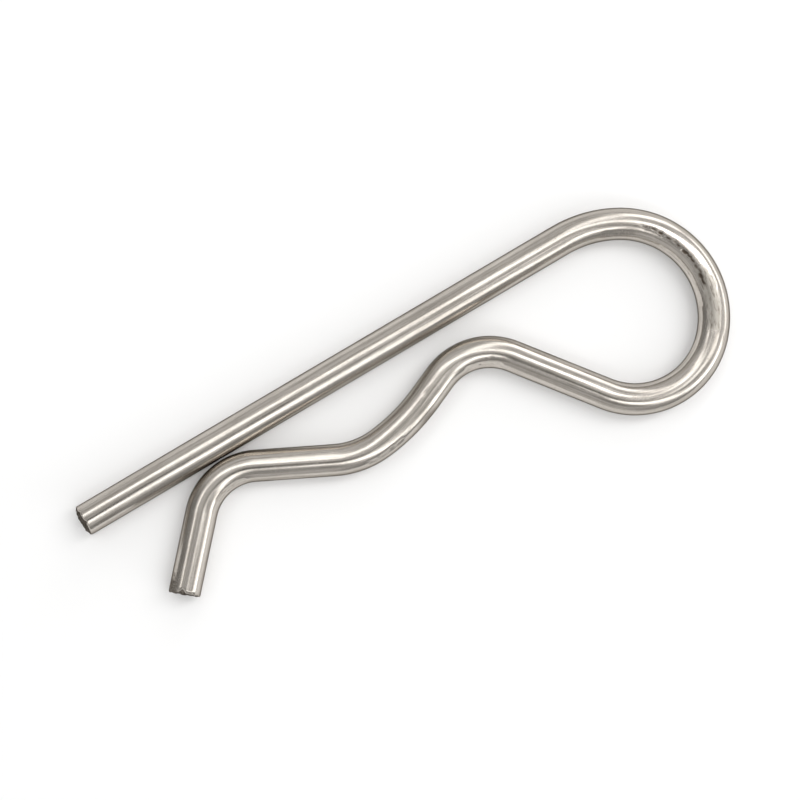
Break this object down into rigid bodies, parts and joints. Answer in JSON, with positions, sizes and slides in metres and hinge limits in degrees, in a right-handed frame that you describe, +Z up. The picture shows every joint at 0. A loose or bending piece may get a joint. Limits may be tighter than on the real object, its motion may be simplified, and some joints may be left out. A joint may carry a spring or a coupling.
{
  "type": "hitch r clip pin",
  "caption": "Bent spring wire R clip with a straight shank, a round finger eye and a wavy sprung arm; it locks a hitch or clevis pin by hugging the pin's shaft.",
  "frame": {"origin": "under the middle of the clip's overall box, on the plane it lies on", "axes": "+X along the straight shank, towards the finger eye; +Y from the wavy arm towards the shank; +Z up, square to the plane of the wire"},
  "size_m": [0.0634, 0.0202, 0.003],
  "materials": {
    "stainless_wire": "satin drawn stainless spring wire with fine lengthwise die lines"
  },
  "bodies": {
    "root": {"r_clip": "stainless_wire"}
  },
  "joints": []
}
